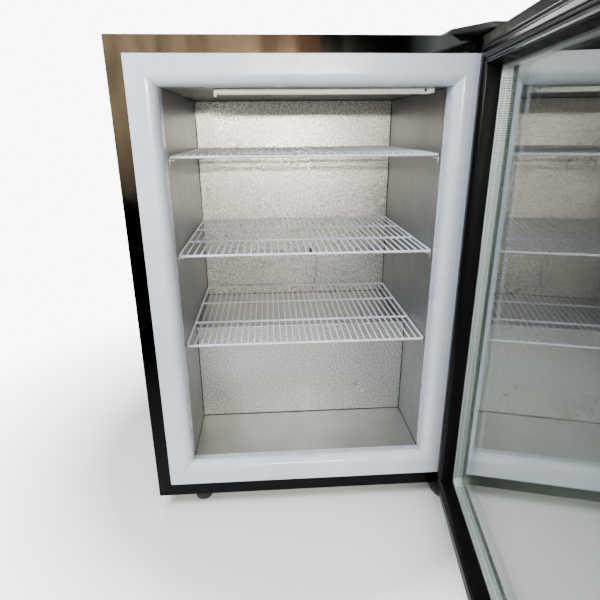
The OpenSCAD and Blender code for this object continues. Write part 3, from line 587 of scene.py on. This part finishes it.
def embossedSheet(node, name):
    low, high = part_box(node)
    wide, tall = high.x - low.x, high.z - low.z
    bpy.ops.mesh.primitive_grid_add(x_subdivisions=int(wide / emboss["grid"]),
                                    y_subdivisions=int(tall / emboss["grid"]), size=1,
                                    location=((low.x + high.x) / 2, low.y, (low.z + high.z) / 2),
                                    rotation=(math.pi / 2, 0, 0))
    obj = bpy.context.active_object
    obj.scale = (wide, tall, 1)
    bpy.ops.object.transform_apply(location=True, rotation=True, scale=True)
    grain = bpy.data.textures.new(name, "CLOUDS")
    grain.noise_scale = emboss["cell"]
    grain.noise_depth = 1
    applied(obj, "DISPLACE", texture=grain, texture_coords="LOCAL", strength=emboss["depth"],
            mid_level=0.5)
    bpy.ops.object.mode_set(mode="EDIT")
    bpy.ops.mesh.select_all(action="SELECT")
    bpy.ops.mesh.region_to_loop()
    bpy.ops.mesh.extrude_region_move(TRANSFORM_OT_translate={"value": (0, emboss["thick"], 0)})
    bpy.ops.mesh.edge_face_add()
    bpy.ops.object.mode_set(mode="OBJECT")
    finished(obj, name, "cabinet", "embossed_aluminium", [node], smooth=180)


shelf = {
    "rail": 0.0024, "wire": 0.0014,        # radii
    "pitch": 0.0125, "edge": 0.012,        # wire spacing and least space beside the first wire
    "turn": 0.008, "turnSteps": 6,         # bend of the rim's corners
    "closeWithin": 0.00005,                # the rim's two ends closer than this are one
    "wireEnd": 0.0008,                     # rounding of a wire's ends
    "sink": 0.0005,                        # how far the wires sink into the rails
    "short": 0.0005,                       # how far a wire ends before the rim's outside
    "slim": 0.0002,                        # how much thinner a cross rail is than the rim
    "weld": 0.0021, "weldShape": (0.95, 1.15, 0.75), "weldDrop": 0.7,
    "cross": (1 / 3, 2 / 3),               # where the cross rails lie
}


def rimLoop(low, high, z):
    r, turn = shelf["rail"], shelf["turn"]
    left, right, front, back = low.x + r, high.x - r, low.y + r, high.y - r
    bpy.ops.mesh.primitive_circle_add(vertices=12, radius=r, location=(left + turn, front, z),
                                      rotation=(0, math.pi / 2, 0))
    obj = bpy.context.active_object
    bpy.ops.object.transform_apply(location=True, rotation=True, scale=True)
    bpy.ops.object.mode_set(mode="EDIT")
    bpy.ops.mesh.select_all(action="SELECT")
    wide, deep = right - left - 2 * turn, back - front - 2 * turn
    runs = [                                   # straight step, then the centre of the bend after it
        ((wide, 0, 0), (right - turn, front + turn, z)),
        ((0, deep, 0), (right - turn, back - turn, z)),
        ((-wide, 0, 0), (left + turn, back - turn, z)),
        ((0, -deep, 0), (left + turn, front + turn, z)),
    ]
    for step, centre in runs:
        bpy.ops.mesh.extrude_region_move(TRANSFORM_OT_translate={"value": step})
        bpy.ops.mesh.spin(steps=shelf["turnSteps"], angle=-math.pi / 2, center=centre, axis=(0, 0, 1))
    bpy.ops.mesh.select_all(action="SELECT")
    bpy.ops.mesh.remove_doubles(threshold=shelf["closeWithin"])
    bpy.ops.mesh.normals_make_consistent(inside=False)
    bpy.ops.object.mode_set(mode="OBJECT")
    return obj


def shelfPiece(node):
    low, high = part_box(node)
    r, w = shelf["rail"], shelf["wire"]
    z = low.z + r
    parts = [rimLoop(low, high, z)]
    for share in shelf["cross"]:
        y = low.y + (high.y - low.y) * share
        parts.append(rod((low.x + r, y, z), (high.x - r, y, z), r - shelf["slim"]))
    last = math.floor((high.x - low.x - 2 * shelf["edge"]) / shelf["pitch"])
    first = low.x + (high.x - low.x - last * shelf["pitch"]) / 2
    lift = z + r + w - shelf["sink"]
    wireFront, wireBack = low.y + shelf["short"], high.y - shelf["short"]
    wire = rod((first, wireFront, lift), (first, wireBack, lift), w, 10, bevel=shelf["wireEnd"])
    parts.append(rowOf(wire, last + 1, (shelf["pitch"], 0, 0)))
    rows = [low.y + r, high.y - r] + [low.y + (high.y - low.y) * share for share in shelf["cross"]]
    for y in rows:
        bpy.ops.mesh.primitive_uv_sphere_add(segments=10, ring_count=6, radius=shelf["weld"],
                                             location=(first, y, lift - w * shelf["weldDrop"]))
        weld = bpy.context.active_object
        weld.scale = shelf["weldShape"]
        bpy.ops.object.transform_apply(location=False, rotation=False, scale=True)
        parts.append(rowOf(weld, last + 1, (shelf["pitch"], 0, 0)))
    finished(join(parts), node + "Wires", node, "white_wire", [node], smooth=60)


# the strip's section in mm, across from its outer edge and out: fixing lip, groove, bulb, groove, lip
gasketSection = [
    (0, 0), (0.2, 2.2), (0.9, 3.0), (2.2, 3.1), (3.2, 2.4), (4.2, 1.2), (6.4, 0.9),
    (7.6, 1.6), (8.2, 3.4), (9.6, 4.4), (11.6, 5.0), (13.4, 5.5), (14.4, 5.65), (15.4, 5.5), (17.4, 4.7),
    (19, 3.2), (20.4, 1.3), (23, 1.0), (24, 1.9), (25, 3.4), (26.6, 3.9), (27.7, 3.0), (28, 0),
]


def doorGasket():
    low, high = shutBox("door_gasket")
    profile = [(across / 1000, out / 1000) for across, out in gasketSection]
    gasket = finished(framedPlane(low, high, profile), "gasket", "door", "black_rubber", ["door_gasket"],
                      smooth=50, swing=True)
    gasket.data.materials[0] = softVinyl()


spacer = {
    "wide": 0.009, "taper": 0.0003,                            # bar width and lean of its sides
    "dot": 0.0011, "dotHigh": 0.0003, "pitch": 0.0034,         # perforations
    "rows": (0.3, 0.7), "clear": 0.02,                         # where the two rows lie and end
    "dotLift": 0.0001,                                         # how far they stand off the bar
    "seal": 0.0012, "sealInside": 0.0005, "sealTaper": 0.0001,  # strip within the bar at the middle pane
}


def nodeLevels(node):
    # the door depths at which the node's faces lie, with the door shut
    return sorted({round((shutDoor @ v.co).y, 5) for v in frame["nodes"][node].data.vertices})


def spacerFrames():
    low, high = shutBox("glass_spacers")
    levels = nodeLevels("glass_spacers")
    wide, taper, seal, clear = spacer["wide"], spacer["taper"], spacer["seal"], spacer["clear"]
    inner, sealWide = wide + spacer["dotLift"], wide - spacer["sealInside"]
    tall, across = high.z - low.z - 2 * clear, high.x - low.x - 2 * clear
    bars, dots = [], []
    for y0, y1 in (levels[0:2], levels[2:4]):
        deep = y1 - y0
        section = [(0, 0), (taper, deep), (wide - taper, deep), (wide, 0)]
        bars.append(framedPlane(Vector((low.x, y0, low.z)), Vector((high.x, y0, high.z)), section))
        sealAt = y1 - seal if y0 == levels[0] else y0
        section = [(0, 0), (sealWide - spacer["sealTaper"], 0), (sealWide, seal)]
        dots.append(framedPlane(Vector((low.x, sealAt, low.z)), Vector((high.x, sealAt, high.z)), section))
        for share in spacer["rows"]:
            y = y0 + deep * share
            dots.append(dotRow((low.x + inner, y, low.z + clear), (0, 0, 1), (0, math.pi / 2, 0), tall))
            dots.append(dotRow((high.x - inner, y, low.z + clear), (0, 0, 1), (0, -math.pi / 2, 0), tall))
            dots.append(dotRow((low.x + clear, y, low.z + inner), (1, 0, 0), (0, 0, 0), across))
    finished(join(bars), "spacerBars", "door", "spacer_aluminium", ["glass_spacers"], smooth=30, swing=True)
    finished(join(dots), "spacerPerforations", "door", "black_rubber", smooth=0, swing=True)


def dotRow(start, along, turn, length):
    bpy.ops.mesh.primitive_cylinder_add(vertices=6, radius=spacer["dot"], depth=spacer["dotHigh"],
                                        location=start, rotation=turn)
    dot = bpy.context.active_object
    bpy.ops.object.transform_apply(location=True, rotation=True, scale=True)
    return rowOf(dot, int(length / spacer["pitch"]), Vector(along) * spacer["pitch"])


panes = {
    "edge": 0.0004,                                            # arris of a pane
    "smokedTint": (0.15, 0.175, 0.16), "smokedLit": (0.6, 0.64, 0.62), "smokedIor": 1.3,
}


def glassPanes():
    low, high = shutBox("glass_panes")
    levels = nodeLevels("glass_panes")
    for count, name in enumerate(("outerPane", "middlePane", "innerPane")):
        y0, y1 = levels[2 * count:2 * count + 2]
        pane = block((low.x, y0, low.z), (high.x, y1, high.z), bevel=panes["edge"], segments=1)
        replaced = ["glass_panes"] if name == "innerPane" else []
        pane = finished(pane, name, "door", "clear_glass", replaced, smooth=20, swing=True)
        if name == "outerPane":
            smoked = clearGlass("smokedGlass", panes["smokedTint"], panes["smokedLit"], panes["smokedIor"])
            pane.data.materials[0] = smoked


handle = {
    "bar": 0.006, "barEnd": 0.0055,              # radius, and rounding of the ends
    "post": 0.0052, "over": 0.018,               # radius, and how far the bar runs past it
    "flange": 0.0095, "flangeHigh": 0.003, "flangeEdge": 0.0012,
}


def doorHandle():
    low, high = shutBox("door_handle")
    x, y = (low.x + high.x) / 2, low.y + handle["bar"]
    bar = rod((x, y, low.z), (x, y, high.z), handle["bar"], 24)
    applied(bar, "BEVEL", width=handle["barEnd"], segments=5, limit_method="ANGLE", angle_limit=endAngle)
    parts = [bar]
    inset = handle["over"] + handle["bar"]
    for z in (low.z + inset, high.z - inset):
        parts.append(rod((x, y, z), (x, high.y, z), handle["post"], 20))
        parts.append(rod((x, high.y - handle["flangeHigh"], z), (x, high.y, z), handle["flange"], 24,
                         bevel=handle["flangeEdge"]))
    finished(join(parts), "bowHandle", "door", "black_plastic", ["door_handle"], smooth=35, swing=True)


def looseBoxes(node):
    # the boxes of a node's separate solids
    twin = bpy.data.objects.new(node + "Loose", frame["nodes"][node].data.copy())
    bpy.context.scene.collection.objects.link(twin)
    select(twin)
    bpy.ops.object.mode_set(mode="EDIT")
    bpy.ops.mesh.select_all(action="SELECT")
    bpy.ops.mesh.remove_doubles(threshold=mergeWithin)
    bpy.ops.mesh.separate(type="LOOSE")
    bpy.ops.object.mode_set(mode="OBJECT")
    boxes = []
    for solid in list(bpy.context.selected_objects):
        boxes.append(boxOf([v.co for v in solid.data.vertices]))
        bpy.data.objects.remove(solid)
    return sorted(boxes, key=lambda pair: tuple(pair[0]))


panHead = {                                                    # shares of its radius or height
    "roundOfHeight": 0.75, "roundOfRadius": 0.35,              # the smaller one rounds the head
    "crossLong": 0.6, "crossWide": 0.13, "crossFloor": 0.45, "crossPast": 1.5,
    "offSheet": 0.00001,                                       # m, keeps the underside off the sheet
}


def crossHead(radius, high):
    # a pan head along +Z with a cross recess
    bpy.ops.mesh.primitive_cylinder_add(vertices=24, radius=radius, depth=high, location=(0, 0, high / 2))
    head = bpy.context.active_object
    rounding = min(high * panHead["roundOfHeight"], radius * panHead["roundOfRadius"])
    applied(head, "BEVEL", width=rounding, segments=4, limit_method="ANGLE", angle_limit=endAngle)
    bpy.ops.object.mode_set(mode="EDIT")
    bpy.ops.mesh.select_all(action="SELECT")
    bpy.ops.mesh.bisect(plane_co=(0, 0, panHead["offSheet"]), plane_no=(0, 0, 1), clear_inner=True,
                        use_fill=True)
    bpy.ops.object.mode_set(mode="OBJECT")
    long, wide = radius * panHead["crossLong"], radius * panHead["crossWide"]
    floor, past = high * panHead["crossFloor"], high * panHead["crossPast"]
    for turn in (0, math.pi / 2):
        slot = block((-long, -wide, floor), (long, wide, past))
        slot.rotation_euler = (0, 0, turn)
        applied(head, "BOOLEAN", object=slot, operation="DIFFERENCE", solver="EXACT")
        bpy.data.objects.remove(slot)
    return head


def placed(obj, at, direction):
    obj.location = at
    obj.rotation_euler = Vector(direction).to_track_quat("Z", "Y").to_euler()
    return obj


screw = {
    "rear": 0.0038, "rearHigh": 0.0018, "hingeHigh": 0.002, "lamp": 0.0024, "lampHigh": 0.0012,
    "coverEdge": 0.012, "panelSide": 0.014, "panelEnd": 0.02,      # how far in from the sheets' edges
}


def headsAt(radius, high, places):
    # one pan head, modelled once and copied to the other places
    first = crossHead(radius, high)
    heads = [first] + [copyOf(first) for _ in places[1:]]
    return join([placed(head, at, direction) for head, (at, direction) in zip(heads, places)])


def screwHeads():
    lampLow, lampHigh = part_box("lamp_housing")
    places = []
    for low, high in looseBoxes("screws"):
        middle = (low + high) / 2
        if lampLow.z < middle.z < lampHigh.z:
            lampScrew = headsAt(screw["lamp"], screw["lampHigh"],
                                [((middle.x, lampLow.y, middle.z), (0, -1, 0))])
            finished(lampScrew, "lampScrew", "cabinet", "black_paint", smooth=35)
            continue
        up = 1 if middle.z > cadBox[1].z / 2 else -1
        top = high.z if up > 0 else low.z
        places.append(((middle.x, middle.y, top - up * screw["hingeHigh"]), (0, 0, up)))
        radius = (high.x - low.x) / 2
    heads = headsAt(radius, screw["hingeHigh"], places)
    finished(heads, "crossScrews", "cabinet", "zinc_steel", ["screws"], smooth=35)


def rearScrewHeads():
    low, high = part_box("rear_cover")
    edge = screw["coverEdge"]
    places = [(x, high.y, z) for x in (low.x + edge, 0, high.x - edge)
              for z in (low.z + edge, high.z - edge)]
    low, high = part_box("back_panel")
    side, end = screw["panelSide"], screw["panelEnd"]
    places += [(x, high.y, z) for x in (low.x + side, high.x - side)
               for z in (low.z + end, (low.z + high.z) / 2, high.z - end)]
    heads = headsAt(screw["rear"], screw["rearHigh"], [(at, (0, 1, 0)) for at in places])
    finished(heads, "rearScrews", "cabinet", "zinc_steel", smooth=35)


clip = {"plate": 0.002, "peg": 0.003, "prong": 0.0012, "round": 0.0008, "prongEnd": 0.0005}


def shelfClips():
    parts = []
    for low, high in looseBoxes("shelf_clips"):
        left = low.x < 0
        wall = low.x if left else high.x
        side = 1 if left else -1
        y = (low.y + high.y) / 2
        xs = sorted((wall, wall + side * clip["plate"]))
        parts.append(block((xs[0], low.y, low.z), (xs[1], high.y, high.z), bevel=clip["round"]))
        end = high.x if left else low.x
        prong, pegZ = clip["prong"], high.z - clip["peg"]
        for offset in (-1, 1):                                  # the two prongs of the hook
            at = y + offset * (clip["peg"] - prong)
            parts.append(rod((wall, at, pegZ), (end, at, pegZ), prong, 10, bevel=clip["prongEnd"]))
        bar = sorted((end, end - side * 2 * prong))
        parts.append(block((bar[0], y - clip["peg"], pegZ - prong), (bar[1], y + clip["peg"], pegZ + prong),
                           bevel=clip["round"]))
    finished(join(parts), "shelfHooks", "cabinet", "zinc_steel", ["shelf_clips"], smooth=40)


seam = {"radius": 0.0011, "fromFront": 0.001}


def cornerSeams():
    # dark rods along the corners of the cavity
    left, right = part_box("liner_left")[1].x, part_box("liner_right")[0].x
    back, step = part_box("liner_back")[0].y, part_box("step_front")[0].y
    top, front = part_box("liner_ceiling")[0].z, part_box("liner_floor")[0].y + seam["fromFront"]
    stepTop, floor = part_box("step_top")[1].z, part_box("liner_floor")[1].z
    lines = []
    for x in (left, right):
        lines += [
            ((x, back, stepTop), (x, back, top)), ((x, step, floor), (x, step, stepTop)),
            ((x, front, floor), (x, step, floor)), ((x, front, top), (x, back, top)),
            ((x, step, stepTop), (x, back, stepTop)),
        ]
    for y, z in ((back, top), (back, stepTop), (step, floor)):
        lines.append(((left, y, z), (right, y, z)))
    parts = [rod(start, end, seam["radius"], 8) for start, end in lines]
    finished(join(parts), "cornerSeams", "cabinet", "black_rubber", smooth=60)


lead = {
    "radius": 0.0007,
    "wall": 0.0032,                # the wall's face lies this far in front of the lead's box
    "end": 0.003,                  # the lead stops this far above the foot of its box
    # across, out from the wall and down from the grommet, m
    "bends": [(0, 0.001, 0), (0.003, 0.0032, 0.002), (0.012, 0.0012, 0.012), (0.0185, 0.0006, 0.026),
              (0.012, 0.0006, 0.06)],
    "last": (0.003, 0.0006),
}


def probe():
    # thin lead that comes out of its grommet and runs down the wall
    low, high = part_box("probe_lead")
    grommetLow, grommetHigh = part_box("probe_grommet")
    x, z = (grommetLow.x + grommetHigh.x) / 2, (grommetLow.z + grommetHigh.z) / 2
    wall = high.y - lead["wall"]
    points = [(x + across, wall - out, z - down) for across, out, down in lead["bends"]]
    across, out = lead["last"]
    points.append((x + across, wall - out, low.z + lead["end"]))
    bpy.ops.curve.primitive_nurbs_path_add()
    curve = bpy.context.active_object
    spline = curve.data.splines[0]
    spline.points.add(len(points) - len(spline.points))
    for point, place in zip(spline.points, points):
        point.co = (*place, 1)
    spline.use_endpoint_u = True
    curve.data.bevel_depth = lead["radius"]
    curve.data.bevel_resolution = 3
    curve.data.resolution_u = 8
    select(curve)
    bpy.ops.object.convert(target="MESH")
    finished(bpy.context.active_object, "probeWire", "cabinet", "black_rubber", ["probe_lead"], smooth=60)


embossedSheet("liner_back", "embossedBackWall")
embossedSheet("step_front", "embossedStepFront")
print("embossed sheets")
for node in ("shelf_top", "shelf_middle", "shelf_bottom"):
    shelfPiece(node)
print("shelves")
doorGasket()
spacerFrames()
glassPanes()
doorHandle()
print("door gasket, glass, spacers and handle")
screwHeads()
rearScrewHeads()
shelfClips()
cornerSeams()
probe()
print("screws, shelf hooks, seams and probe")
roundedEdges = {               # m, on CAD pieces that keep their own shape
    "left_panel": 0.0004, "right_panel": 0.0004, "top_panel": 0.0004, "hinge_cover": 0.0012,
    "top_hinge_plate": 0.0006, "bottom_hinge_plate": 0.0008, "door_stiles": 0.0006, "door_rails": 0.0006,
    "lamp_housing": 0.0007, "lamp_diffuser": 0.0006, "relay_cover": 0.003, "thermostat_knob": 0.001,
    "light_switch": 0.0008, "control_housings": 0.0006, "cord_gland": 0.0008,
    "foot_front_left": 0.0008, "foot_front_right": 0.0008, "rear_feet": 0.0008,
}
for node, width in roundedEdges.items():
    softened(node, width)
print("softened pieces")
